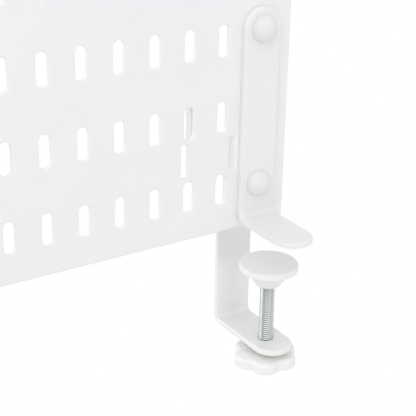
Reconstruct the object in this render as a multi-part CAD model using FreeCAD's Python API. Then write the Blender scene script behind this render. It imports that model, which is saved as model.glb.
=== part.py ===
import FreeCAD, Part
import math
import os

# Clamp-on pegboard: a slotted panel carried by two steel screw clamps on a desk's rear edge.
#
# Millimetres. X runs along the desk edge to the right, Y from the user to the back, Z up.
# The origin is where the desk's top meets its rear edge, at the middle of the panel.

os.makedirs("parts", exist_ok=True)
Vec = FreeCAD.Vector

# Moulded panel
slotColumns = 8
slotRows = 5
slotPitchX = 20.0
slotPitchZ = 40.0
slotWidth = 6.0
slotHeight = 17.0
slotEndSides = 4           # flats around each half-round slot end
sideBorder = 41.0          # outer slot column to the panel's side edge
endBorder = 24.3           # outer slot row to the panel's top or bottom edge
panelDepth = 16.5
panelWall = 2.0
rimWall = 2.0
panelCornerRadius = 3.0
panelEdgeBreak = 0.8
panelDrop = 3.9            # panel's bottom edge below the desk top

# Ribs on the panel's back
ribThickness = 1.6
crossRibDepth = 8.0
crossRibEveryRows = 3
crossRibBelowRow = 11.0
uprightRibDepth = 5.0
uprightRibEveryColumns = 4
gussetDepth = 12.0

# Paired link slots near the lower corners; the inner one has a short rib beside it
linkSlotWidth = 4.0
linkSlotHeight = 18.0
linkSlotSpacing = 29.5
linkPairInset = 48.8       # middle of the pair to the panel's side edge
linkPairHeight = 44.3      # middle of the pair to the panel's bottom edge
linkRibOffset = 5.6
linkRibDepth = 5.0
linkRibLow = 34.3          # ends of the rib, from the panel's bottom edge
linkRibHigh = 74.3

# Steel strip of the clamps
stripWidth = 22.0
stripThickness = 3.0
bendRadius = 3.0
clampInset = 19.2          # middle of the strip to the panel's side edge
boltHeight = 25.1          # lower bolt above the panel's bottom edge
boltSpacing = 84.0
tongueReach = 45.5         # tongue tip in front of the panel
legReach = 32.5            # leg tip in front of the panel
legDepth = 66.4            # top of the leg below the desk top
backWidth = 14.4           # rear strip behind the panel, clear of the view through the slots
shoulderDepth = 7.0        # where the rear strip starts to narrow, below the desk top

# M5 fasteners through the panel
boltDiameter = 5.0
boltLength = 29.0
boltHeadHeight = 3.5
hexAcrossFlats = 8.0
nutHeight = 4.7
postSide = 11.0
boltHoleClearance = 0.25   # on the radius
capDiameter = 14.4
capHeight = 6.5
capSkirt = 0.8
capHeadRoom = 0.3

# Clamp screw, knob and pad
screwDiameter = 8.0
screwReach = 15.9          # screw axis in front of the panel
screwHeadAcrossFlats = 13.0
screwHeadHeight = 5.3
screwHeadRecess = 0.4
jawGap = 20.6              # desk top to pad at rest
padDiameter = 32.0
padRimHeight = 3.8
padConeDiameter = 25.0
padNeckDiameter = 14.4
padHeight = 12.6
buttonDiameter = 6.4       # turned button on the screw's tip
buttonHeight = 3.2
buttonCover = 3.2          # pad's face to the socket
neckDiameter = 4.6
shoulderGap = 0.3
knobLobes = 6
knobLobeCircle = 10.4      # radius on which the lobes' centres lie
knobLobeRadius = 7.7
knobNotchRadius = 2.6
knobHeight = 7.3
knobGap = 3.7              # leg's underside to the knob at rest
knobTurn = 236.0           # direction of one lobe, in degrees from +X

# Named clearances, on the radius
runningFit = 0.05
socketFit = 0.08
pressFit = 0.02

panelWidth = 2 * sideBorder + (slotColumns - 1) * slotPitchX
panelHeight = 2 * endBorder + (slotRows - 1) * slotPitchZ
panelLow = -panelDrop
panelHigh = panelLow + panelHeight
clampX = panelWidth / 2 - clampInset
lowerBoltZ = panelLow + boltHeight
upperBoltZ = lowerBoltZ + boltSpacing
boltHole = boltDiameter / 2 + boltHoleClearance
legTop = -legDepth
legUnder = legTop - stripThickness
screwY = -screwReach
padTop = -jawGap
padLow = padTop - padHeight
socketTop = padTop - buttonCover
buttonTop = socketTop - socketFit
buttonLow = buttonTop - buttonHeight
shoulderZ = padLow - shoulderGap
knobTop = legUnder - knobGap
knobLow = knobTop - knobHeight
headTop = knobLow + screwHeadRecess + screwHeadHeight


def block(x0, x1, y0, y1, z0, z1):
    return Part.makeBox(x1 - x0, y1 - y0, z1 - z0, Vec(x0, y0, z0))


def rodY(x, z, radius, y0, y1):
    return Part.makeCylinder(radius, y1 - y0, Vec(x, y0, z), Vec(0, 1, 0))


def rodZ(x, y, radius, z0, z1):
    return Part.makeCylinder(radius, z1 - z0, Vec(x, y, z0), Vec(0, 0, 1))


def line(a, b):
    return Part.makeLine(a, b)


def arc(a, middle, b):
    return Part.Arc(a, middle, b).toShape()


def arcMiddle(centre, a, b):
    """Point halfway along the shorter arc about centre from a to b."""
    bisector = (a - centre) + (b - centre)
    bisector.normalize()
    return centre + bisector * (a - centre).Length


def revolved(edges, base, axis):
    return Part.Face(Part.Wire(edges)).revolve(base, axis, 360)


def hexPrism(acrossFlats, x, y, z, height, axis):
    """Six-sided prism that starts at the point given and runs along +Y or +Z."""
    corner = acrossFlats / math.sqrt(3)
    points = []
    for step in range(7):
        turn = math.radians(60 * step)
        across = corner * math.cos(turn)
        up = corner * math.sin(turn)
        if axis == "Y":
            points.append(Vec(x + across, y, z + up))
        else:
            points.append(Vec(x + across, y + up, z))
    face = Part.Face(Part.makePolygon(points))
    return face.extrude(Vec(0, height, 0) if axis == "Y" else Vec(0, 0, height))


def slotShape(x, z, y0, y1):
    """Long cutter with half-round ends, through the panel's wall."""
    radius = slotWidth / 2
    straight = slotHeight / 2 - radius
    points = []
    for end in (1, -1):
        for side in range(slotEndSides + 1):
            turn = math.pi * side / slotEndSides
            across = end * radius * math.cos(turn)
            up = end * (straight + radius * math.sin(turn))
            points.append(Vec(x + across, y0, z + up))
    points.append(points[0])
    return Part.Face(Part.makePolygon(points)).extrude(Vec(0, y1 - y0, 0))


def columnX(column):
    return (column - (slotColumns - 1) / 2) * slotPitchX


def rowZ(row):
    return panelLow + endBorder + row * slotPitchZ


def linkSlotPlaces():
    """Middle of each link slot along the panel."""
    places = []
    for side in (-1, 1):
        for end in (-1, 1):
            places.append(side * (panelWidth / 2 - linkPairInset) + end * linkSlotSpacing / 2)
    return places


def edgesAlong(shape, direction):
    found = []
    for edge in shape.Edges:
        a = edge.Vertexes[0].Point
        b = edge.Vertexes[-1].Point
        if (b - a).Length > 0 and abs((b - a).normalize().dot(direction)) > 0.999:
            found.append(edge)
    return found


def panelShell():
    """Front wall and rim in one moulding, open at the back."""
    half = panelWidth / 2
    outer = block(-half, half, 0, panelDepth, panelLow, panelHigh)
    outer = outer.makeFillet(panelCornerRadius, edgesAlong(outer, Vec(0, 1, 0)))
    front = [edge for edge in outer.Edges if edge.BoundBox.YMax < 1e-6]
    outer = outer.makeChamfer(panelEdgeBreak, front)
    inner = block(-half + rimWall, half - rimWall, panelWall, panelDepth + 1,
                  panelLow + rimWall, panelHigh - rimWall)
    inner = inner.makeFillet(max(panelCornerRadius - rimWall, 0.2), edgesAlong(inner, Vec(0, 1, 0)))
    return outer.cut(inner)


def panelSlots():
    cutters = []
    for column in range(slotColumns):
        for row in range(slotRows):
            cutters.append(slotShape(columnX(column), rowZ(row), -1, panelWall + 1))
    linkZ = panelLow + linkPairHeight
    for x in linkSlotPlaces():
        cutters.append(block(x - linkSlotWidth / 2, x + linkSlotWidth / 2, -1, panelWall + 1,
                             linkZ - linkSlotHeight / 2, linkZ + linkSlotHeight / 2))
    return cutters


def panelRibs():
    """Cross ribs, upright ribs, link-slot ribs, and the bolt posts with their gussets."""
    innerX = panelWidth / 2 - rimWall
    halfRib = ribThickness / 2
    ribs = []
    for row in range(crossRibEveryRows, slotRows, crossRibEveryRows):
        z = rowZ(row) - crossRibBelowRow
        ribs.append(block(-innerX, innerX, panelWall, panelWall + crossRibDepth, z - halfRib, z + halfRib))
    for column in range(uprightRibEveryColumns, slotColumns, uprightRibEveryColumns):
        x = columnX(column) - slotPitchX / 2
        ribs.append(block(x - halfRib, x + halfRib, panelWall, panelWall + uprightRibDepth,
                          panelLow + rimWall, panelHigh - rimWall))
    for side in (-1, 1):
        innerSlot = side * (panelWidth / 2 - linkPairInset - linkSlotSpacing / 2)
        x = innerSlot + side * linkRibOffset
        ribs.append(block(x - halfRib, x + halfRib, panelWall, panelWall + linkRibDepth,
                          panelLow + linkRibLow, panelLow + linkRibHigh))
    for side in (-1, 1):
        for z in (lowerBoltZ, upperBoltZ):
            x = side * clampX
            rim = side * innerX
            ribs.append(block(x - postSide / 2, x + postSide / 2, panelWall, panelDepth,
                              z - postSide / 2, z + postSide / 2))
            ribs.append(block(min(x, rim), max(x, rim), panelWall, panelWall + gussetDepth,
                              z - halfRib, z + halfRib))
    return ribs


def makePanel():
    shell = panelShell().cut(Part.makeCompound(panelSlots()))
    panel = shell.fuse(panelRibs())
    holes = []
    for side in (-1, 1):
        for z in (lowerBoltZ, upperBoltZ):
            holes.append(rodY(side * clampX, z, boltHole, -1, panelDepth + 1))
    return panel.cut(holes).removeSplitter()


def stripOutline(topWidth, shoulderZ, lowZ):
    """Front view of an upright strip with a full round on top; it narrows by 45 degree shoulders."""
    low = stripWidth / 2
    high = topWidth / 2
    side = [Vec(low, 0, lowZ)]
    if topWidth < stripWidth:
        side += [Vec(low, 0, shoulderZ), Vec(high, 0, shoulderZ + low - high)]
    side.append(Vec(high, 0, upperBoltZ))
    other = [Vec(-point.x, 0, point.z) for point in reversed(side)]
    edges = [line(a, b) for a, b in zip(side, side[1:])]
    edges.append(arc(side[-1], Vec(0, 0, upperBoltZ + high), other[0]))
    edges += [line(a, b) for a, b in zip(other, other[1:])]
    edges.append(line(other[-1], side[0]))
    return Part.Face(Part.Wire(edges))


def bentStrip(faceY, footTop, tipY, topWidth=stripWidth, shoulderZ=0.0):
    """Upright strip with a foot bent forward at its lower end; both free ends are full rounds."""
    backY = faceY + stripThickness
    footLow = footTop - stripThickness
    half = stripWidth / 2
    topZ = upperBoltZ + topWidth / 2
    centre = Vec(0, faceY - bendRadius, footTop + bendRadius)
    innerHigh = Vec(0, faceY, footTop + bendRadius)
    innerLow = Vec(0, faceY - bendRadius, footTop)
    outerLow = Vec(0, faceY - bendRadius, footLow)
    outerHigh = Vec(0, backY, footTop + bendRadius)
    backTop = Vec(0, backY, topZ)
    faceTop = Vec(0, faceY, topZ)
    tipTop = Vec(0, tipY, footTop)
    tipLow = Vec(0, tipY, footLow)
    section = Part.Wire([
        line(backTop, faceTop),
        line(faceTop, innerHigh),
        arc(innerHigh, arcMiddle(centre, innerHigh, innerLow), innerLow),
        line(innerLow, tipTop),
        line(tipTop, tipLow),
        line(tipLow, outerLow),
        arc(outerLow, arcMiddle(centre, outerLow, outerHigh), outerHigh),
        line(outerHigh, backTop),
    ])
    strip = Part.Face(section).extrude(Vec(stripWidth, 0, 0))
    strip.translate(Vec(-half, 0, 0))
    upright = stripOutline(topWidth, shoulderZ, footLow - 1)
    upright.translate(Vec(0, tipY - 1, 0))
    upright = upright.extrude(Vec(0, backY - tipY + 2, 0))
    foot = block(-half, half, tipY + half, backY + 1, footLow - 1, topZ + 1)
    foot = foot.fuse(rodZ(0, tipY + half, half, footLow - 1, topZ + 1))
    return strip.common(upright).common(foot).removeSplitter()


def withBoltHoles(strip):
    holes = []
    for z in (lowerBoltZ, upperBoltZ):
        holes.append(rodY(0, z, boltHole, -stripThickness - 1, panelDepth + stripThickness + 1))
    return strip.cut(holes)


def makeFrontBracket():
    """Rests on the desk top and lies against the panel's face."""
    return withBoltHoles(bentStrip(-stripThickness, stripThickness, -tongueReach))


def makeRearBracket():
    """Lies against the panel's back; its tapped leg carries the clamp screw below the desk."""
    bracket = withBoltHoles(bentStrip(panelDepth, legTop, -legReach, backWidth, -shoulderDepth))
    return bracket.cut(rodZ(0, screwY, screwDiameter / 2 + runningFit, legUnder - 1, legTop + 1))


def makeClampScrew():
    """Hexagon head below, shank through the leg, turned button on a neck in the pad."""
    shank = rodZ(0, screwY, screwDiameter / 2, headTop, shoulderZ)
    neck = rodZ(0, screwY, neckDiameter / 2, shoulderZ, buttonLow)
    button = rodZ(0, screwY, buttonDiameter / 2, buttonLow, buttonTop)
    head = hexPrism(screwHeadAcrossFlats, 0, screwY, headTop - screwHeadHeight, screwHeadHeight, "Z")
    return head.fuse([shank, neck, button]).removeSplitter()


def knobOutline(z):
    """Lobes joined by hollow arcs that are tangent to their two neighbours."""
    step = 2 * math.pi / knobLobes
    start = math.radians(knobTurn)
    reach = knobLobeRadius + knobNotchRadius
    across = knobLobeCircle * math.sin(step / 2)
    notchCircle = knobLobeCircle * math.cos(step / 2) + math.sqrt(reach ** 2 - across ** 2)

    def around(radius, turn):
        return Vec(radius * math.cos(turn), screwY + radius * math.sin(turn), z)

    edges = []
    for lobe in range(knobLobes):
        turn = start + lobe * step
        centre = around(knobLobeCircle, turn)
        before = around(notchCircle, turn - step / 2)
        after = around(notchCircle, turn + step / 2)
        follower = around(knobLobeCircle, turn + step)
        share = knobLobeRadius / reach
        lobeStart = centre + (before - centre) * share
        lobeEnd = centre + (after - centre) * share
        nextStart = follower + (after - follower) * share
        tip = around(knobLobeCircle + knobLobeRadius, turn)
        edges.append(arc(lobeStart, tip, lobeEnd))
        edges.append(arc(lobeEnd, arcMiddle(after, lobeEnd, nextStart), nextStart))
    return Part.Wire(edges)


def makeKnob():
    """Lobed hand knob, driven by the screw's hexagon head in its underside."""
    knob = Part.Face(knobOutline(knobLow)).extrude(Vec(0, 0, knobHeight))
    pocket = hexPrism(screwHeadAcrossFlats + 2 * pressFit, 0, screwY, knobLow - 1, headTop - knobLow + 1, "Z")
    bore = rodZ(0, screwY, screwDiameter / 2 + runningFit, knobLow, knobTop + 1)
    return knob.cut([pocket, bore])


def makePad():
    """Disc with a conical back and a neck; it snaps over the screw's button and swivels on it."""
    radius = padDiameter / 2
    neck = padNeckDiameter / 2
    rimLow = padTop - padRimHeight
    socketLow = buttonLow - socketFit
    profile = [
        (0, padTop), (radius, padTop), (radius, rimLow), (padConeDiameter / 2, rimLow), (neck, padLow),
        (neckDiameter / 2 + socketFit, padLow), (neckDiameter / 2 + socketFit, socketLow),
        (buttonDiameter / 2 + socketFit, socketLow), (buttonDiameter / 2 + socketFit, socketTop),
        (0, socketTop), (0, padTop),
    ]
    section = Part.makePolygon([Vec(r, screwY, z) for r, z in profile])
    return Part.Face(section).revolve(Vec(0, screwY, 0), Vec(0, 0, 1), 360)


def makeCap(z):
    """Domed cap pushed over a bolt head, standing on the front bracket."""
    radius = capDiameter / 2
    face = -stripThickness
    skirt = face - capSkirt
    apex = face - capHeight
    rise = capHeight - capSkirt
    sphere = (radius ** 2 + rise ** 2) / (2 * rise)
    turn = math.asin(radius / sphere) / 2
    edges = [
        line(Vec(0, apex, z), Vec(0, face, z)),
        line(Vec(0, face, z), Vec(radius, face, z)),
        line(Vec(radius, face, z), Vec(radius, skirt, z)),
        arc(Vec(radius, skirt, z), Vec(sphere * math.sin(turn), apex + sphere * (1 - math.cos(turn)), z),
            Vec(0, apex, z)),
    ]
    dome = revolved(edges, Vec(0, 0, z), Vec(0, 1, 0))
    room = boltHeadHeight + capHeadRoom
    return dome.cut(hexPrism(hexAcrossFlats + 2 * socketFit, 0, face - room, z, room + 1, "Y"))


def makeBolt(z):
    """Hexagon bolt, head against the front bracket."""
    face = -stripThickness
    head = hexPrism(hexAcrossFlats, 0, face - boltHeadHeight, z, boltHeadHeight, "Y")
    return head.fuse(rodY(0, z, boltDiameter / 2, face, face + boltLength)).removeSplitter()


def makeNut(z):
    """Hexagon nut against the rear bracket."""
    back = panelDepth + stripThickness
    nut = hexPrism(hexAcrossFlats, 0, back, z, nutHeight, "Y")
    return nut.cut(rodY(0, z, boltDiameter / 2 + pressFit, back - 1, back + nutHeight + 1))


def save(name, shape, x=0.0):
    placed = shape.copy()
    placed.translate(Vec(x, 0, 0))
    placed.exportStep("parts/" + name + ".step")


def main():
    save("panel", makePanel())
    levels = {"lower": lowerBoltZ, "upper": upperBoltZ}
    single = {
        "front_bracket": makeFrontBracket(),
        "rear_bracket": makeRearBracket(),
        "clamp_screw": makeClampScrew(),
        "star_knob": makeKnob(),
        "swivel_pad": makePad(),
    }
    caps = []
    for side, x in (("left", -clampX), ("right", clampX)):
        for name, shape in single.items():
            save(side + "_" + name, shape, x)
        for level, z in levels.items():
            save(side + "_" + level + "_bolt", makeBolt(z), x)
            save(side + "_" + level + "_nut", makeNut(z), x)
            caps.append(makeCap(z).translated(Vec(x, 0, 0)))
    save("bolt_caps", Part.makeCompound(caps))


main()
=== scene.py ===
import math

import bmesh
import bpy
from mathutils import Matrix, Vector


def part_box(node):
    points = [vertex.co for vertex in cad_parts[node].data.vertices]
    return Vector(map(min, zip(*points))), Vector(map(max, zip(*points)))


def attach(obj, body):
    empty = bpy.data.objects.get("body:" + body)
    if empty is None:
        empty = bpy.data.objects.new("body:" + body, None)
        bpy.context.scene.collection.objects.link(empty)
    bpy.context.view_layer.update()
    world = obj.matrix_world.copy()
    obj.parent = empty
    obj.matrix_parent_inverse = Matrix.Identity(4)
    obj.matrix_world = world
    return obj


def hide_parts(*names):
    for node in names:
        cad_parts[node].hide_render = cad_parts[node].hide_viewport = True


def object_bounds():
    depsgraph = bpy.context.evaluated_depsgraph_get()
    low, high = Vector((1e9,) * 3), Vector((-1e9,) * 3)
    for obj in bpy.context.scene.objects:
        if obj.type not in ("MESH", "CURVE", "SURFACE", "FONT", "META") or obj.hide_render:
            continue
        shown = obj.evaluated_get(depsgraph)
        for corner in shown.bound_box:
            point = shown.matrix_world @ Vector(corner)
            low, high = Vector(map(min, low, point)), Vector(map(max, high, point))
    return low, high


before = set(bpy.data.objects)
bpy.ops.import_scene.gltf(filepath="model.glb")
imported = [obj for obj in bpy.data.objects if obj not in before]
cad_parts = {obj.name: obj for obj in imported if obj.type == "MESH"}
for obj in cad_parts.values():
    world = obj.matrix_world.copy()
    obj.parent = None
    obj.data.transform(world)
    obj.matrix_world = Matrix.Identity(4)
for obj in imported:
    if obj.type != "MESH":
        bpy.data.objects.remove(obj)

mm = 0.001
overshoot = 1.0   # cutters run this far past a face, in millimetres
shading = {
    "sharpOver": 32,     # degrees between two faces
    "flatWeight": 80,
}
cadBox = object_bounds()
scene = bpy.context.scene


# Shared mesh helpers

def circleRing(radius, height, steps=64):
    return [(radius * math.cos(2 * math.pi * k / steps), radius * math.sin(2 * math.pi * k / steps), height)
            for k in range(steps)]


def roundedRect(width, height, radius, steps):
    # corners as arcs; repeated points are dropped, so a long slot comes out of the same call
    points = []
    for corner, (right, up) in enumerate(((1, 1), (-1, 1), (-1, -1), (1, -1))):
        for step in range(steps + 1):
            turn = math.radians(90 * (corner + step / steps))
            point = (right * (width / 2 - radius) + radius * math.cos(turn),
                     up * (height / 2 - radius) + radius * math.sin(turn))
            if not points or math.dist(point, points[-1]) > 1e-6:
                points.append(point)
    if math.dist(points[0], points[-1]) < 1e-6:
        points.pop()
    return points


def joinRows(mesh, rows):
    for lower, upper in zip(rows, rows[1:]):
        for k in range(len(lower)):
            after = (k + 1) % len(lower)
            mesh.faces.new((lower[k], lower[after], upper[after], upper[k]))


def loft(rings, closed=True):
    mesh = bmesh.new()
    rows = [[mesh.verts.new(point) for point in ring] for ring in rings]
    joinRows(mesh, rows)
    if closed:
        mesh.faces.new(rows[0][::-1])
        mesh.faces.new(rows[-1])
    bmesh.ops.recalc_face_normals(mesh, faces=mesh.faces)
    return mesh


def turned(profile, steps=64):
    # profile is (radius, height) from one flat end to the other
    return loft([circleRing(radius, height, steps) for radius, height in profile])


def asMesh(shape, name):
    bmesh.ops.scale(shape, vec=(mm,) * 3, verts=shape.verts)
    data = bpy.data.meshes.new(name)
    shape.to_mesh(data)
    shape.free()
    return data


def merged(meshes, name):
    joined = bmesh.new()
    for data in meshes:
        joined.from_mesh(data)
        bpy.data.meshes.remove(data)
    result = bpy.data.meshes.new(name)
    joined.to_mesh(result)
    joined.free()
    return result


def combined(base, tool, operation):
    # exact boolean of two meshes; both are used up
    body = bpy.data.objects.new("body", base)
    cutter = bpy.data.objects.new("cutter", tool)
    for item in (body, cutter):
        scene.collection.objects.link(item)
    step = body.modifiers.new("step", "BOOLEAN")
    step.operation = operation
    step.solver = "EXACT"
    step.object = cutter
    seen = body.evaluated_get(bpy.context.evaluated_depsgraph_get())
    result = bpy.data.meshes.new_from_object(seen)
    for item in (body, cutter):
        data = item.data
        bpy.data.objects.remove(item)
        bpy.data.meshes.remove(data)
    return result


def addPiece(name, data, body, finish, node, sharpOver=shading["sharpOver"]):
    piece = bpy.data.objects.new(name, data)
    scene.collection.objects.link(piece)
    data.name = name
    data.materials.clear()
    data.materials.append(finish)
    data.shade_smooth()
    data.set_sharp_from_angle(angle=math.radians(sharpOver))
    # keeps flat faces flat beside small roundings
    flatten = piece.modifiers.new("flatFaces", "WEIGHTED_NORMAL")
    flatten.keep_sharp = True
    flatten.weight = shading["flatWeight"]
    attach(piece, body)
    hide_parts(node)


def quarter(radius, steps):
    # (inset, depth) along a quarter round, from its flat face to its side
    return [(radius * (1 - math.sin(math.radians(90 * k / steps))),
             radius * (1 - math.cos(math.radians(90 * k / steps)))) for k in range(steps + 1)]


# Finishes

mottleSpread = 0.4
noiseDetail = {"mottle": 3, "grain": 4, "paintedReflections": 2}


def tintBetween(finish, shader, noise, low, high, spread):
    # base colour runs from low to high as the noise does
    tint = finish.node_tree.nodes.new("ShaderNodeValToRGB")
    tint.color_ramp.elements[0].position = 0.5 - spread / 2
    tint.color_ramp.elements[1].position = 0.5 + spread / 2
    tint.color_ramp.elements[0].color = (*low, 1)
    tint.color_ramp.elements[1].color = (*high, 1)
    finish.node_tree.links.new(noise.outputs["Fac"], tint.inputs["Fac"])
    finish.node_tree.links.new(tint.outputs["Color"], shader.inputs["Base Color"])


def newFinish(name, roughness, speckle, base=None):
    # base colour with a faint mottle, roughness that wanders, and two scales of bump
    finish = bpy.data.materials.new(name)
    finish.use_nodes = True
    nodes = finish.node_tree.nodes
    links = finish.node_tree.links
    shader = nodes["Principled BSDF"]
    place = nodes.new("ShaderNodeTexCoord")
    mottle = nodes.new("ShaderNodeTexNoise")
    mottle.inputs["Scale"].default_value = speckle["mottleScale"]
    mottle.inputs["Detail"].default_value = noiseDetail["mottle"]
    links.new(place.outputs["Object"], mottle.inputs["Vector"])
    if base:
        darker = [c * (1 - speckle["mottle"]) for c in base]
        tintBetween(finish, shader, mottle, darker, base, mottleSpread)
    sheen = nodes.new("ShaderNodeMapRange")
    sheen.inputs["To Min"].default_value = roughness - speckle["sheen"]
    sheen.inputs["To Max"].default_value = roughness + speckle["sheen"]
    links.new(mottle.outputs["Fac"], sheen.inputs["Value"])
    links.new(sheen.outputs["Result"], shader.inputs["Roughness"])
    grain = nodes.new("ShaderNodeTexNoise")
    grain.inputs["Scale"].default_value = speckle["grainScale"]
    grain.inputs["Detail"].default_value = noiseDetail["grain"]
    links.new(place.outputs["Object"], grain.inputs["Vector"])
    wave = nodes.new("ShaderNodeTexNoise")
    wave.inputs["Scale"].default_value = speckle["waveScale"]
    links.new(place.outputs["Object"], wave.inputs["Vector"])
    fine = nodes.new("ShaderNodeBump")
    fine.inputs["Strength"].default_value = speckle["grain"]
    fine.inputs["Distance"].default_value = speckle["grainDepth"]
    links.new(grain.outputs["Fac"], fine.inputs["Height"])
    broad = nodes.new("ShaderNodeBump")
    broad.inputs["Strength"].default_value = speckle["wave"]
    broad.inputs["Distance"].default_value = speckle["waveDepth"]
    links.new(wave.outputs["Fac"], broad.inputs["Height"])
    links.new(fine.outputs["Normal"], broad.inputs["Normal"])
    links.new(broad.outputs["Normal"], shader.inputs["Normal"])
    return finish, shader


def addPaintedReflections(finish, shader, scale, stretch, low, high, spread):
    # painted reflections: long light and dark streaks in the base colour along the part, standing in for the
    # surroundings mirrored down the screw
    nodes = finish.node_tree.nodes
    links = finish.node_tree.links
    place = nodes.new("ShaderNodeTexCoord")
    squeeze = nodes.new("ShaderNodeMapping")
    squeeze.inputs["Scale"].default_value = (1, 1, stretch)
    links.new(place.outputs["Object"], squeeze.inputs["Vector"])
    marks = nodes.new("ShaderNodeTexNoise")
    marks.inputs["Scale"].default_value = scale
    marks.inputs["Detail"].default_value = noiseDetail["paintedReflections"]
    links.new(squeeze.outputs["Vector"], marks.inputs["Vector"])
    tintBetween(finish, shader, marks, low, high, spread)


mouldedPanel = {
    "base": (0.85, 0.853, 0.87),
    "roughness": 0.42,
    "speckle": {"mottleScale": 35, "mottle": 0.02, "sheen": 0.05, "grainScale": 2600, "grain": 0.25,
                "grainDepth": 0.00003, "waveScale": 26, "wave": 0.15, "waveDepth": 0.0004},
}
mouldedSmall = {
    "base": (0.855, 0.852, 0.838),
    "roughness": 0.38,
    "speckle": {"mottleScale": 60, "mottle": 0.02, "sheen": 0.05, "grainScale": 3200, "grain": 0.2,
                "grainDepth": 0.00003, "waveScale": 90, "wave": 0.1, "waveDepth": 0.0002},
}
mouldedCap = dict(mouldedSmall, base=(0.79, 0.797, 0.808), roughness=0.5)
powderCoat = {
    "base": (0.835, 0.835, 0.825),
    "roughness": 0.36,
    "speckle": {"mottleScale": 50, "mottle": 0.015, "sheen": 0.06, "grainScale": 900, "grain": 0.3,
                "grainDepth": 0.00006, "waveScale": 260, "wave": 0.12, "waveDepth": 0.0002},
}
powderShine = {"Coat Weight": 0.15, "Coat Roughness": 0.25}
zincPlate = {
    "roughness": 0.42,
    "speckle": {"mottleScale": 140, "sheen": 0.06, "grainScale": 1800, "grain": 0.15,
                "grainDepth": 0.00001, "waveScale": 400, "wave": 0.1, "waveDepth": 0.0001},
}
# painted reflection streaks on the zinc: its base colour runs between these two levels along stretched noise
zincPaintedReflections = {
    "scale": 420,            # across the screw, per metre
    "stretch": 0.02,         # along it, against across
    "low": (0.45, 0.482, 0.476),
    "high": (0.72, 0.745, 0.74),
    "spread": 0.24,
}
panelFinish, _ = newFinish("mouldedPanel", **mouldedPanel)
plasticFinish, _ = newFinish("mouldedWhite", **mouldedSmall)
capFinish, _ = newFinish("mouldedCap", **mouldedCap)
coatFinish, coatShader = newFinish("powderCoat", **powderCoat)
for socket, value in powderShine.items():
    coatShader.inputs[socket].default_value = value
zincFinish, zincShader = newFinish("zincPlate", **zincPlate)
zincShader.inputs["Metallic"].default_value = 1.0
addPaintedReflections(zincFinish, zincShader, **zincPaintedReflections)
print("finishes ready")


# Panel

panelLow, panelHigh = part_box("panel")
panel = {
    "wall": 2.0,
    "rimWall": 2.0,
    "corner": 3.0,
    "cornerLeast": 0.6,      # smallest corner inside the tray
    "frontRound": 1.0,
    "backRound": 0.5,
    "slotWidth": 6.0,
    "slotHeight": 17.0,
    "slotRound": 0.8,        # soft front edge of every slot
    "slotBackRound": 0.3,
    "pitchX": 20.0,
    "pitchZ": 40.0,
    "columns": 8,
    "rows": 5,
    "linkWidth": 4.0,
    "linkHeight": 18.0,
    "linkCorner": 0.4,
    "linkAt": (47.45, 76.95),
    "linkZ": 40.4,
    "linkSides": (1,),       # the pair is near the right-hand corner only
    "boltHole": 2.75,
    "ribWall": 1.6,
    "ribCorner": 0.3,
    "ribRoot": 0.6,          # how far ribs run into the front wall
    "ribDraft": 0.15,
    "ribRound": 0.25,
    "crossRib": 8.0,
    "crossRibRow": 3,        # slot row above the cross rib, counted from 0
    "crossRibBelow": 11.0,
    "uprightRib": 5.0,
    "innerRib": 5.0,         # short rib beside the inner link slot
    "innerRibOffset": 5.6,
    "innerRibEnds": (34.3, 74.3),
    "outerRib": 5.5,         # short rib beside the outer link slot
    "outerRibPast": 3.0,
    "outerRibGap": 0.1,
    "post": 11.0,
    "postRound": 0.1,
    "gusset": 12.0,
    "sunk": 0.5,             # how far ribs run into the rim's wall
}
panelWidth = (panelHigh.x - panelLow.x) / mm
panelHeight = (panelHigh.z - panelLow.z) / mm
panelDepth = (panelHigh.y - panelLow.y) / mm
panelMiddleZ = (panelHigh.z + panelLow.z) / 2 / mm
clampX = (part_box("right_front_bracket")[0].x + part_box("right_front_bracket")[1].x) / 2 / mm
boltLevels = [(low.z + high.z) / 2 / mm
              for low, high in (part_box("right_lower_bolt"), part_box("right_upper_bolt"))]


def columnX(column):
    return (column - (panel["columns"] - 1) / 2) * panel["pitchX"]


def rowZ(row):
    return panelMiddleZ + (row - (panel["rows"] - 1) / 2) * panel["pitchZ"]


def uprightRing(points, depth, x=0.0, z=0.0):
    return [(x + across, depth, z + up) for across, up in points]


def panelTray():
    rings = []

    def ring(inset, depth):
        radius = max(panel["corner"] - inset, panel["cornerLeast"])
        outline = roundedRect(panelWidth - 2 * inset, panelHeight - 2 * inset, radius, 8)
        rings.append(uprightRing(outline, depth, z=panelMiddleZ))

    rimWall = panel["rimWall"]
    back = panel["backRound"]
    for inset, depth in quarter(panel["frontRound"], 5):
        ring(inset, depth)
    for inset, depth in reversed(quarter(back, 3)):
        ring(inset, panelDepth - depth)
    for inset, depth in quarter(back, 3):
        ring(rimWall - inset, panelDepth - depth)
    for inset, depth in reversed(quarter(back, 3)):
        ring(rimWall + inset, panel["wall"] + depth)
    return asMesh(loft(rings), "tray")


def slotCutter(x, z, width, height, radius, steps):
    rings = []
    front = panel["slotRound"]
    rear = panel["slotBackRound"]
    wall = panel["wall"]
    path = [(front, -overshoot)] + quarter(front, 5)
    path += [(grow, wall - depth) for grow, depth in reversed(quarter(rear, 2))]
    path += [(rear, wall + overshoot)]
    for grow, depth in path:
        points = roundedRect(width + 2 * grow, height + 2 * grow, radius + grow, steps)
        rings.append(uprightRing(points, depth, x, z))
    return asMesh(loft(rings), "slot")


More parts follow.
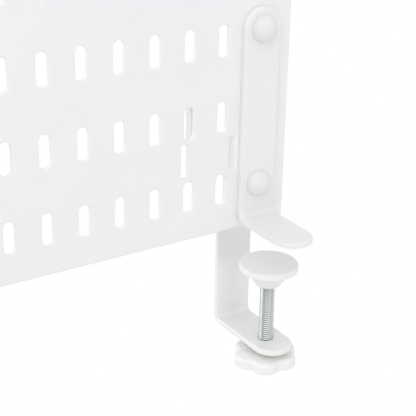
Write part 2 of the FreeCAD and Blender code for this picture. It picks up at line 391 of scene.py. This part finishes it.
def slotCutters():
    cutters = []
    for column in range(panel["columns"]):
        for row in range(panel["rows"]):
            cutters.append(slotCutter(columnX(column), rowZ(row), panel["slotWidth"], panel["slotHeight"],
                                      panel["slotWidth"] / 2, 10))
    for x in panel["linkAt"]:
        for side in panel["linkSides"]:
            cutters.append(slotCutter(side * x, panel["linkZ"], panel["linkWidth"], panel["linkHeight"],
                                      panel["linkCorner"], 3))
    for side in (-1, 1):
        for z in boltLevels:
            rings = [[(side * clampX + x, depth, z + up) for x, up, _ in circleRing(panel["boltHole"], 0, 32)]
                     for depth in (-overshoot, panelDepth + overshoot)]
            cutters.append(asMesh(loft(rings), "boltHole"))
    return merged(cutters, "cutters")


def ribShape(x0, x1, z0, z1, depth, rounding=panel["ribRound"]):
    # upright block on the panel's back, a little narrower at its free edge
    wide = x1 - x0
    high = z1 - z0
    draft = panel["ribDraft"]
    rings = []
    path = [(0.0, panel["wall"] - panel["ribRoot"]), (0.0, panel["wall"])]
    path += [(draft + inset, panel["wall"] + depth - drop) for inset, drop in reversed(quarter(rounding, 3))]
    for inset, y in path:
        points = roundedRect(wide - 2 * inset, high - 2 * inset, panel["ribCorner"], 3)
        rings.append(uprightRing(points, y, (x0 + x1) / 2, (z0 + z1) / 2))
    return asMesh(loft(rings), "rib")


def panelRibs():
    innerX = panelWidth / 2 - panel["rimWall"] + panel["sunk"]
    foot = panelLow.z / mm
    lowZ = foot + panel["rimWall"] - panel["sunk"]
    highZ = panelHigh.z / mm - panel["rimWall"] + panel["sunk"]
    half = panel["ribWall"] / 2
    post = panel["post"] / 2
    crossZ = rowZ(panel["crossRibRow"]) - panel["crossRibBelow"]
    ribs = [ribShape(-innerX, innerX, crossZ - half, crossZ + half, panel["crossRib"]),
            ribShape(-half, half, lowZ, highZ, panel["uprightRib"])]
    shortLow, shortHigh = panel["innerRibEnds"]
    for side in (-1, 1):
        x = side * (panel["linkAt"][0] + panel["innerRibOffset"])
        ribs.append(ribShape(x - half, x + half, foot + shortLow, foot + shortHigh, panel["innerRib"]))
        centre = side * clampX
        ends = sorted((centre, side * innerX))
        for z in boltLevels:
            ribs.append(ribShape(centre - post, centre + post, z - post, z + post,
                                 panelDepth - panel["wall"], panel["postRound"]))
            ribs.append(ribShape(ends[0], ends[1], z - half, z + half, panel["gusset"]))
    reachZ = panel["linkHeight"] / 2 + panel["outerRibPast"]
    lowZ = panel["linkZ"] - reachZ
    highZ = panel["linkZ"] + reachZ
    edge = panel["linkAt"][1] + panel["linkWidth"] / 2 + panel["slotBackRound"] + panel["outerRibGap"]
    for side in panel["linkSides"]:
        ends = sorted((side * edge, side * (edge + panel["ribWall"])))
        ribs.append(ribShape(ends[0], ends[1], lowZ, highZ, panel["outerRib"]))
    return ribs


panelMesh = panelTray()
for rib in panelRibs():
    panelMesh = combined(panelMesh, rib, "UNION")
panelMesh = combined(panelMesh, slotCutters(), "DIFFERENCE")
addPiece("pegPanel", panelMesh, "root", panelFinish, "panel")
print("panel ready")


# Brackets

bracket = {
    "width": 22.0,
    "thick": 3.0,
    "bend": 3.0,
    "edges": (1.0, 0.3),     # rounding of the face and the back
    "backWidth": 14.4,       # rear strip behind the panel
    "shoulderDepth": 7.0,
    "shoulderRound": 1.5,
    "bendLead": 0.4,         # last straight row before a bend
    "bendSteps": 14,
    "endSteps": 16,          # in a quarter of a round end
    "shoulderSteps": 6,
    "boltHole": 2.75,
    "screwHole": 4.05,
    "holeRound": 0.35,
}


def stripSide(length, width, topWidth, shoulder, inset, bendStart, bendLength):
    # one edge of the flat strip from the round top to the round tip, as (along, across)
    radius = topWidth / 2
    half = width / 2
    ends = bracket["endSteps"]
    side = []
    for step in range(ends + 1):
        turn = math.radians(90 * step / ends)
        side.append((radius - (radius - inset) * math.cos(turn), (radius - inset) * math.sin(turn)))
    if topWidth < width:
        soft = bracket["shoulderRound"]
        ease = soft * math.tan(math.radians(22.5))
        turns = [math.radians(45 * step / bracket["shoulderSteps"])
                 for step in range(bracket["shoulderSteps"] + 1)]
        for turn in turns:
            side.append((shoulder - ease + (soft + inset) * math.sin(turn),
                         radius + soft - (soft + inset) * math.cos(turn)))
        for turn in reversed(turns):
            side.append((shoulder + half - radius + ease - (soft - inset) * math.sin(turn),
                         half - soft + (soft - inset) * math.cos(turn)))
    marks = [bendStart - bracket["bendLead"]]
    marks += [bendStart + bendLength * k / bracket["bendSteps"] for k in range(bracket["bendSteps"] + 1)]
    marks += [bendStart + bendLength + bracket["bendLead"]]
    side += [(mark, half - inset) for mark in marks]
    for step in range(ends, -1, -1):
        turn = math.radians(90 * step / ends)
        side.append((length - half + (half - inset) * math.cos(turn), (half - inset) * math.sin(turn)))
    return side


def bentStrip(node, faceY, footTop, topWidth, shoulderZ=0.0):
    # a flat strip with round ends, laid along the upright, the bend and the foot
    low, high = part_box(node)
    top = high.z / mm
    tip = low.y / mm
    width = (high.x - low.x) / mm
    thick = abs(high.y / mm - faceY)
    centreX = (low.x + high.x) / 2 / mm
    bend = bracket["bend"]
    middle = bend + thick / 2
    upright = top - (footTop + bend)
    bendLength = middle * math.pi / 2
    foot = (faceY - bend) - tip
    length = upright + bendLength + foot
    shoulder = top - shoulderZ - (width - topWidth) / 2

    def placed(along, across, out):
        if along <= upright:
            y = faceY + thick / 2 + out
            z = top - along
        elif along <= upright + bendLength:
            turn = (along - upright) / middle
            y = faceY - bend + (middle + out) * math.cos(turn)
            z = footTop + bend - (middle + out) * math.sin(turn)
        else:
            y = faceY - bend - (along - upright - bendLength)
            z = footTop - thick / 2 - out
        return (centreX + across, y, z)

    shape = bmesh.new()
    rows = []
    near, far = (quarter(radius, 5) for radius in bracket["edges"])
    path = [(inset, -thick / 2 + depth) for inset, depth in near]
    path += [(inset, thick / 2 - depth) for inset, depth in reversed(far)]
    for inset, out in path:
        side = stripSide(length, width, topWidth, shoulder, inset, upright, bendLength)
        back = [(along, -across) for along, across in side[-2:0:-1]]
        rows.append([shape.verts.new(placed(along, across, out)) for along, across in side + back])
    joinRows(shape, rows)
    for row in (rows[0], rows[-1]):
        total = len(row)
        for k in range(len(side) - 1):
            corners = [row[k], row[k + 1]]
            for other in (total - k - 1, total - k):
                vertex = row[other % total]
                if vertex not in corners:
                    corners.append(vertex)
            shape.faces.new(corners)
    bmesh.ops.recalc_face_normals(shape, faces=shape.faces)
    return asMesh(shape, node)


def roundedHole(radius, start, finish, place):
    # cutter with flared mouths, so that the hole's edges come out rounded
    mouth = bracket["holeRound"]
    flare = quarter(mouth, 3)
    path = [(mouth, start - overshoot)] + [(grow, start + depth) for grow, depth in flare]
    path += [(grow, finish - depth) for grow, depth in reversed(flare)] + [(mouth, finish + overshoot)]
    return asMesh(loft([[place(x, y, depth) for x, y, _ in circleRing(radius + grow, 0, 40)]
                        for grow, depth in path]), "hole")


screwY = (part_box("right_clamp_screw")[0].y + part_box("right_clamp_screw")[1].y) / 2 / mm
thick = bracket["thick"]
frontFace = -thick
rearFace = panelDepth
for sideName, side in (("left", -1), ("right", 1)):
    centre = side * clampX
    frontNode = sideName + "_front_bracket"
    rearNode = sideName + "_rear_bracket"
    front = bentStrip(frontNode, frontFace, thick, bracket["width"])
    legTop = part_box(rearNode)[0].z / mm + thick
    rear = bentStrip(rearNode, rearFace, legTop, bracket["backWidth"], -bracket["shoulderDepth"])
    for z in boltLevels:
        def onBolt(x, y, depth):
            return (centre + x, depth, z + y)

        hole = roundedHole(bracket["boltHole"], frontFace, 0.0, onBolt)
        front = combined(front, hole, "DIFFERENCE")
        hole = roundedHole(bracket["boltHole"], rearFace, rearFace + thick, onBolt)
        rear = combined(rear, hole, "DIFFERENCE")

    def onScrew(x, y, depth):
        return (centre + x, screwY + y, depth)

    hole = roundedHole(bracket["screwHole"], legTop - thick, legTop, onScrew)
    rear = combined(rear, hole, "DIFFERENCE")
    addPiece(sideName + "FrontBracket", front, "root", coatFinish, frontNode)
    addPiece(sideName + "RearBracket", rear, "root", coatFinish, rearNode)
print("brackets ready")


# Fasteners

fastener = {
    "capRadius": 7.2,
    "capHeight": 6.5,
    "capSkirt": 0.8,
    "capRim": 0.25,
    "capWall": 1.6,
    "capRoom": 3.8,
    "capSharp": 50,
    "hexFlats": 8.0,
    "headHeight": 3.5,
    "nutHeight": 4.7,
    "nutBoreFit": 0.02,
    "nutBoreBreak": 0.35,
    "cornerTurned": 0.95,    # share of the flats that the turned face of a head or nut keeps
    "boltRadius": 2.5,
    "boltPitch": 0.8,
    "boltThread": 0.42,
    "boltPlain": 12.0,       # plain shank behind the head
    "threadLead": (0.05, 0.1),   # short cones before and after the thread
    "boltEndBreak": 0.6,
    "boltIntoHead": 0.2,
    "boltLength": 29.0,
}


def hexReach(flats, turn):
    # distance from the axis to a hexagon's side, with a corner at turn zero
    part = (math.degrees(turn) + 1e-9) % 60 - 30
    return flats / 2 / math.cos(math.radians(part))


def hexRings(flats, low, high, shareLow, shareHigh, steps=72):
    # hexagon whose corners are turned off at a 30 degree cone at either end
    corner = flats / math.sqrt(3)
    rings = []
    for height, share, up in ((low, shareLow, 1), (high, shareHigh, -1)):
        start = corner if share is None else flats / 2 * share
        side = []
        face = []
        for k in range(steps):
            turn = 2 * math.pi * k / steps
            reach = hexReach(flats, turn)
            drop = max(0.0, reach - start) * math.tan(math.radians(30))
            side.append((reach * math.cos(turn), reach * math.sin(turn), height + up * drop))
            inner = min(reach, start)
            face.append((inner * math.cos(turn), inner * math.sin(turn), height))
        rings += [face, side] if up == 1 else [side, face]
    return rings


threadReach = 0.44   # half of the thread's ridge, as a share of the pitch
threadFlank = 0.34   # its sloping part


def threadRings(radius, pitch, depth, low, high, steps=48, perTurn=10):
    # right-hand screw thread; it fades out over the last turn at each end
    rings = []
    count = max(2, round((high - low) / pitch * perTurn))
    for row in range(count + 1):
        height = low + (high - low) * row / count
        near = min(height - low, high - height)
        full = min(1.0, near / pitch)
        ring = []
        for k in range(steps):
            turn = 2 * math.pi * k / steps
            phase = (height / pitch - k / steps) % 1.0
            ridge = max(0.0, min(1.0, (threadReach - abs(phase - 0.5)) / threadFlank))
            reach = radius - depth * (1 - ridge) * full
            ring.append((reach * math.cos(turn), reach * math.sin(turn), height))
        rings.append(ring)
    return rings


def standOn(data, x, z, face, facing):
    # a shape made along +Z points away from face: towards -Y with facing -1, towards +Y with 1
    lay = Matrix.Rotation(-facing * math.pi / 2, 4, "X")
    data.transform(Matrix.Translation((x * mm, face * mm, z * mm)) @ lay)
    return data


def capShape():
    radius = fastener["capRadius"]
    rise = fastener["capHeight"] - fastener["capSkirt"]
    sphere = (radius ** 2 + rise ** 2) / (2 * rise)
    span = math.asin(radius / sphere)
    inner = radius - fastener["capWall"]
    profile = [(inner, fastener["capRoom"]), (inner, 0.0)]
    profile += [(radius - inset, depth) for inset, depth in quarter(fastener["capRim"], 3)]
    for step in range(15):
        turn = span * (1 - step / 15)
        profile.append((sphere * math.sin(turn), fastener["capHeight"] - sphere * (1 - math.cos(turn))))
    return asMesh(turned(profile, 64), "cap")


def boltShape():
    # hexagon head at the front, threaded end at the back
    head = asMesh(loft(hexRings(fastener["hexFlats"], 0.0, fastener["headHeight"], None,
                                fastener["cornerTurned"])), "head")
    radius = fastener["boltRadius"]
    end = -fastener["boltLength"]
    plain = -fastener["boltPlain"]
    before, after = fastener["threadLead"]
    rings = [circleRing(radius - fastener["boltEndBreak"], end, 48)]
    rings += threadRings(radius, fastener["boltPitch"], fastener["boltThread"], end + before, plain)
    rings += [circleRing(radius, plain + after, 48), circleRing(radius, fastener["boltIntoHead"], 48)]
    return merged([head, asMesh(loft(rings), "shank")], "bolt")


def nutShape():
    high = fastener["nutHeight"]
    bore = fastener["boltRadius"] + fastener["nutBoreFit"]
    mouth = fastener["nutBoreBreak"]
    share = fastener["cornerTurned"]
    outside = hexRings(fastener["hexFlats"], 0.0, high, share, share)
    inside = [circleRing(bore + mouth, high, 72), circleRing(bore, high - mouth, 72),
              circleRing(bore, mouth, 72), circleRing(bore + mouth, 0.0, 72)]
    shape = loft(outside + inside + [outside[0]], closed=False)
    bmesh.ops.remove_doubles(shape, verts=shape.verts, dist=1e-5)
    bmesh.ops.recalc_face_normals(shape, faces=shape.faces)
    return asMesh(shape, "nut")


capMeshes = []
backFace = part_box("right_rear_bracket")[1].y / mm
for sideName, side in (("left", -1), ("right", 1)):
    for level, z in zip(("lower", "upper"), boltLevels):
        x = side * clampX
        capMeshes.append(standOn(capShape(), x, z, frontFace, -1))
        bolt = standOn(boltShape(), x, z, frontFace, -1)
        addPiece(f"{sideName}{level.title()}Bolt", bolt, "root", zincFinish,
                 f"{sideName}_{level}_bolt")
        nut = standOn(nutShape(), x, z, backFace, 1)
        addPiece(f"{sideName}{level.title()}Nut", nut, "root", zincFinish,
                 f"{sideName}_{level}_nut")
addPiece("boltCaps", merged(capMeshes, "caps"), "root", capFinish, "bolt_caps",
         fastener["capSharp"])
print("fasteners ready")


# Clamp screw, knob and pad

clamp = {
    "shank": 4.0,
    "shankIntoHead": 0.4,
    "pitch": 1.25,
    "threadDepth": 0.4,
    "threadStart": 0.6,      # above the head
    "screwSharp": 60,
    "headFlats": 13.0,
    "headHeight": 5.3,
    "headRecess": 0.4,
    "headFit": 0.04,
    "boreFit": 0.05,
    "boreStart": 0.5,        # below the pocket's ceiling
    "boreBreak": 0.6,
    "shoulderGap": 0.3,      # screw's shoulder below the pad
    "shoulderBreak": 0.5,
    "neck": 2.3,
    "button": 3.2,
    "buttonHeight": 3.2,
    "buttonBreak": 0.4,
    "buttonCover": 3.2,
    "fit": 0.08,
    "padRim": 3.8,
    "padRimRound": 1.0,
    "padCone": 12.6,
    "padFillet": ((-0.6, -0.9), (-0.1, -0.25), (0.6, 0.0)),   # out and up, from where the cone meets the rim
    "padNeck": 7.2,
    "padNeckRound": 0.8,
    "padMouth": (0.5, 0.4),  # flare of the socket's mouth, out and up
    "lobes": 6,
    "lobeCircle": 10.4,
    "lobe": 7.7,
    "notch": 2.6,
    "lobeTurn": 236.0,
    "topRound": 2.9,
    "crown": 0.7,            # fall of the top from its middle to its rim
    "crownReach": 6.5,
    "bottomRound": 0.8,
}


def arcPoints(x, y, radius, start, finish, steps):
    return [(x + radius * math.cos(start + (finish - start) * k / steps),
             y + radius * math.sin(start + (finish - start) * k / steps)) for k in range(steps)]


def lobedRing(inset, height):
    # lobes and hollows share their centres at every inset, so each ring stays tangent
    part = 2 * math.pi / clamp["lobes"]
    reach = clamp["lobe"] + clamp["notch"]
    across = clamp["lobeCircle"] * math.sin(part / 2)
    along = math.sqrt(reach ** 2 - across ** 2)
    lean = math.atan2(across, along)
    hollowCircle = clamp["lobeCircle"] * math.cos(part / 2) + along
    points = []
    for lobe in range(clamp["lobes"]):
        turn = math.radians(clamp["lobeTurn"]) + lobe * part
        spread = part / 2 + lean
        x = clamp["lobeCircle"] * math.cos(turn)
        y = clamp["lobeCircle"] * math.sin(turn)
        points += arcPoints(x, y, clamp["lobe"] - inset, turn - spread, turn + spread, 22)
        middle = turn + part / 2
        x = hollowCircle * math.cos(middle)
        y = hollowCircle * math.sin(middle)
        points += arcPoints(x, y, clamp["notch"] + inset, middle + math.pi + lean, middle + math.pi - lean, 6)
    return [(x, y, height) for x, y in points]


def knobShape(low, high):
    rings = []
    for inset, depth in quarter(clamp["bottomRound"], 5):
        rings.append(lobedRing(inset, low + depth))
    for inset, depth in reversed(quarter(clamp["topRound"], 9)):
        rings.append(lobedRing(inset, high - clamp["crown"] - depth))
    for step in range(1, 5):
        rise = 1 - step / 4
        inset = clamp["crownReach"] - rise * (clamp["crownReach"] - clamp["topRound"])
        rings.append(lobedRing(inset, high - clamp["crown"] * rise ** 2))
    knob = asMesh(loft(rings), "knob")
    headTop = low + clamp["headRecess"] + clamp["headHeight"]
    pocket = hexRings(clamp["headFlats"] + clamp["headFit"], low - overshoot, headTop, None, None)
    knob = combined(knob, asMesh(loft(pocket), "pocket"), "DIFFERENCE")
    radius = clamp["shank"] + clamp["boreFit"]
    mouth = clamp["boreBreak"]
    bore = [(radius, headTop - clamp["boreStart"]), (radius, high - mouth / 2),
            (radius + mouth, high + mouth / 2)]
    return combined(knob, asMesh(turned(bore, 48), "bore"), "DIFFERENCE")


def padShape(low, top):
    boxLow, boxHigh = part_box("right_swivel_pad")
    radius = (boxHigh.x - boxLow.x) / 2 / mm
    rimLow = top - clamp["padRim"]
    button = clamp["button"] + clamp["fit"]
    neck = clamp["neck"] + clamp["fit"]
    socketTop = top - clamp["buttonCover"]
    socketLow = socketTop - clamp["buttonHeight"] - 2 * clamp["fit"]
    edge = quarter(clamp["padRimRound"], 5)
    flare, flareTop = clamp["padMouth"]
    profile = [(button, socketTop), (button, socketLow), (neck, socketLow), (neck, low + flareTop),
               (clamp["neck"] + flare, low)]
    profile += [(clamp["padNeck"] - inset, low + depth) for inset, depth in quarter(clamp["padNeckRound"], 4)]
    profile += [(clamp["padCone"] + out, rimLow + up) for out, up in clamp["padFillet"]]
    profile += [(radius - inset, rimLow + depth) for inset, depth in edge]
    profile += [(radius - inset, top - depth) for inset, depth in reversed(edge)]
    return asMesh(turned(profile, 96), "pad")


def screwShape(low, top):
    # low is the head's underside and top the button's face
    radius = clamp["shank"]
    headTop = low + clamp["headHeight"]
    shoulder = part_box("right_swivel_pad")[0].z / mm - clamp["shoulderGap"]
    shoulderBreak = clamp["shoulderBreak"]
    buttonLow = top - clamp["buttonHeight"]
    buttonBreak = clamp["buttonBreak"]
    head = asMesh(loft(hexRings(clamp["headFlats"], low, headTop, fastener["cornerTurned"], None)), "head")
    rings = [circleRing(radius, headTop - clamp["shankIntoHead"], 48)]
    rings += threadRings(radius, clamp["pitch"], clamp["threadDepth"],
                         headTop + clamp["threadStart"], shoulder - shoulderBreak)
    rings += [circleRing(radius - shoulderBreak, shoulder, 48), circleRing(clamp["neck"], shoulder, 48),
              circleRing(clamp["neck"], buttonLow, 48), circleRing(clamp["button"], buttonLow, 48),
              circleRing(clamp["button"], top - buttonBreak, 48),
              circleRing(clamp["button"] - buttonBreak, top, 48)]
    return merged([head, asMesh(loft(rings), "shank")], "screw")


for sideName, side in (("left", -1), ("right", 1)):
    place = Matrix.Translation((side * clampX * mm, screwY * mm, 0))
    padLow, padHigh = (corner.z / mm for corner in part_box(sideName + "_swivel_pad"))
    knobLow, knobHigh = (corner.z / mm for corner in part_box(sideName + "_star_knob"))
    screwLow, screwHigh = (corner.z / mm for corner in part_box(sideName + "_clamp_screw"))
    pad = padShape(padLow, padHigh)
    knob = knobShape(knobLow, knobHigh)
    screw = screwShape(screwLow, screwHigh)
    for data in (pad, knob, screw):
        data.transform(place)
    addPiece(sideName + "SwivelPad", pad, sideName + "_pad", plasticFinish,
             sideName + "_swivel_pad")
    addPiece(sideName + "StarKnob", knob, sideName + "_spindle", plasticFinish,
             sideName + "_star_knob")
    addPiece(sideName + "ClampScrew", screw, sideName + "_spindle", zincFinish,
             sideName + "_clamp_screw", clamp["screwSharp"])
print("clamps ready")


# Floor, light and camera

studio = {
    "floorDrop": 0.12,
    "floorReach": 3.0,
    "floorTone": 0.9,
    "floorRoughness": 0.9,
    "seen": 1.0,             # strength of the white that the camera sees
    "surround": 0.7,
    "aim": (0.05, 0, 0.02),
    "lamps": {
        "key": {"power": 8.0, "size": 0.9, "at": (-1.1, -0.9, 1.3)},
        "front": {"power": 1.9, "size": 0.45, "at": (0.09, -1.5, 0.0)},
        "top": {"power": 3.0, "size": 1.2, "at": (0.0, -0.5, 1.6)},
        "back": {"power": 4.6, "size": 0.9, "at": (-0.9, 1.0, 0.3)},
        "fill": {"power": 0.8, "size": 0.9, "at": (1.1, -0.7, 0.4)},
    },
}


def paleWhenSeen(tree, seen, unseen, output, socket):
    # the camera, mirrors and glass see an even white; everything else sees the real surface
    path = tree.nodes.new("ShaderNodeLightPath")
    either = tree.nodes.new("ShaderNodeMath")
    either.operation = "MAXIMUM"
    tree.links.new(path.outputs["Is Camera Ray"], either.inputs[0])
    tree.links.new(path.outputs["Is Glossy Ray"], either.inputs[1])
    every = tree.nodes.new("ShaderNodeMath")
    every.operation = "MAXIMUM"
    tree.links.new(either.outputs[0], every.inputs[0])
    tree.links.new(path.outputs["Is Transmission Ray"], every.inputs[1])
    blend = tree.nodes.new("ShaderNodeMixShader")
    tree.links.new(every.outputs[0], blend.inputs[0])
    tree.links.new(unseen.outputs[0], blend.inputs[1])
    tree.links.new(seen.outputs[0], blend.inputs[2])
    tree.links.new(blend.outputs[0], output.inputs[socket])


world = bpy.data.worlds.new("studio")
scene.world = world
world.use_nodes = True
worldTree = world.node_tree
worldOut = worldTree.nodes["World Output"]
surround = worldTree.nodes["Background"]
surround.inputs["Color"].default_value = (1, 1, 1, 1)
surround.inputs["Strength"].default_value = studio["surround"]
whiteWall = worldTree.nodes.new("ShaderNodeBackground")
whiteWall.inputs["Color"].default_value = (1, 1, 1, 1)
whiteWall.inputs["Strength"].default_value = studio["seen"]
paleWhenSeen(worldTree, whiteWall, surround, worldOut, "Surface")

floorMaterial = bpy.data.materials.new("paleFloor")
floorMaterial.use_nodes = True
floorTree = floorMaterial.node_tree
matt = floorTree.nodes["Principled BSDF"]
matt.inputs["Base Color"].default_value = (*[studio["floorTone"]] * 3, 1)
matt.inputs["Roughness"].default_value = studio["floorRoughness"]
glow = floorTree.nodes.new("ShaderNodeEmission")
glow.inputs["Strength"].default_value = studio["seen"]
paleWhenSeen(floorTree, glow, matt, floorTree.nodes["Material Output"], "Surface")
floorMesh = bpy.data.meshes.new("floor")
reach = studio["floorReach"]
floorMesh.from_pydata([(-reach, -reach, 0), (reach, -reach, 0), (reach, reach, 0), (-reach, reach, 0)], [],
                      [(0, 1, 2, 3)])
floorMesh.materials.append(floorMaterial)
floor = bpy.data.objects.new("floor", floorMesh)
floor.location.z = cadBox[0][2] - studio["floorDrop"]
scene.collection.objects.link(floor)


def softLamp(name, power, size, at):
    lamp = bpy.data.lights.new(name, "AREA")
    lamp.energy = power
    lamp.size = size
    holder = bpy.data.objects.new(name, lamp)
    holder.location = at
    aim = Vector(studio["aim"]) - Vector(at)
    holder.rotation_euler = aim.to_track_quat("-Z", "Y").to_euler()
    scene.collection.objects.link(holder)


for lampName, lampValues in studio["lamps"].items():
    softLamp(lampName, **lampValues)

viewpoint = {
    "azimuth": -33.57,
    "elevation": 23.25,
    "roll": 1.23,
    "eye": (-320.2, -470.9, 154.3),   # from the last slot column, the panel's face and the third slot row
    "focalWidths": 1171.8 / 416,      # focal length, in sensor widths
    "sensor": 36.0,
    "nearest": 0.01,
}
azimuth = math.radians(viewpoint["azimuth"])
elevation = math.radians(viewpoint["elevation"])
roll = math.radians(viewpoint["roll"])
backward = Vector((math.sin(azimuth) * math.cos(elevation), -math.cos(azimuth) * math.cos(elevation),
                   math.sin(elevation)))
level = Vector((math.cos(azimuth), math.sin(azimuth), 0))
upward = backward.cross(level)
right = math.cos(roll) * level + math.sin(roll) * upward
over = -math.sin(roll) * level + math.cos(roll) * upward
eye = Vector(viewpoint["eye"]) + Vector((columnX(panel["columns"] - 1), 0, rowZ(2)))
lens = bpy.data.cameras.new("camera")
lens.sensor_width = viewpoint["sensor"]
lens.lens = viewpoint["focalWidths"] * lens.sensor_width
lens.clip_start = viewpoint["nearest"]
camera = bpy.data.objects.new("camera", lens)
camera.matrix_world = Matrix.Translation(eye * mm) @ Matrix((right, over, backward)).transposed().to_4x4()
scene.collection.objects.link(camera)
scene.camera = camera
scene.view_settings.view_transform = "Standard"
print("studio ready")
